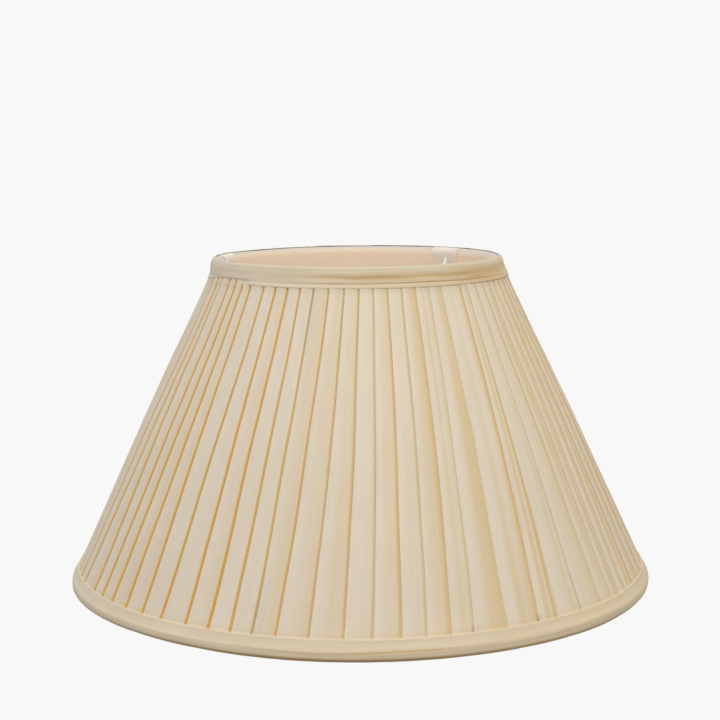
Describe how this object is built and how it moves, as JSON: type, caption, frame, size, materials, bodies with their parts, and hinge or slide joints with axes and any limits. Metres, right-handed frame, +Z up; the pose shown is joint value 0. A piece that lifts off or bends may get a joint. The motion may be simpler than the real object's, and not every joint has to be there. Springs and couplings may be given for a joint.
{
  "type": "lamp shade",
  "caption": "Pleated empire lamp shade: cream cloth folded over a lined wire frame, bound top and bottom rims, recessed ring fitter.",
  "frame": {"origin": "centre of the circle the lower binding stands on", "axes": "+Z up along the shade's axis, -Y towards the front, +X to the right seen from the front"},
  "size_m": [0.4, 0.4, 0.224],
  "materials": {
    "frame_wire": "satin",
    "fitter_metal": "satin",
    "ring_tape": "matte",
    "lining_cloth": "satin",
    "pleated_cover": "satin",
    "binding_cloth": "satin",
    "reducer_plastic": "matte"
  },
  "bodies": {
    "shade": {"top_ring": "frame_wire", "bottom_ring": "frame_wire", "strut_1": "frame_wire", "strut_2": "frame_wire", "strut_3": "frame_wire", "strut_4": "frame_wire", "strut_5": "frame_wire", "strut_6": "frame_wire", "carrier_ring": "fitter_metal", "fitter_arm_1": "fitter_metal", "fitter_arm_2": "fitter_metal", "fitter_arm_3": "fitter_metal", "top_ring_tape": "ring_tape", "bottom_ring_tape": "ring_tape", "lining_front": "lining_cloth", "lining_back": "lining_cloth", "neatener_1": "lining_cloth", "neatener_2": "lining_cloth", "neatener_3": "lining_cloth", "pleat_panel_1": "pleated_cover", "pleat_panel_2": "pleated_cover", "pleat_panel_3": "pleated_cover", "pleat_panel_4": "pleated_cover", "pleat_panel_5": "pleated_cover", "pleat_panel_6": "pleated_cover", "top_trim": "binding_cloth", "bottom_trim": "binding_cloth"},
    "reducer": {"reducer_ring": "reducer_plastic"}
  },
  "joints": [
    {"name": "reducer_lift", "type": "slide", "parent": "shade", "child": "reducer", "axis": [0, 0, 1], "range_m": [0, 0.06]}
  ]
}
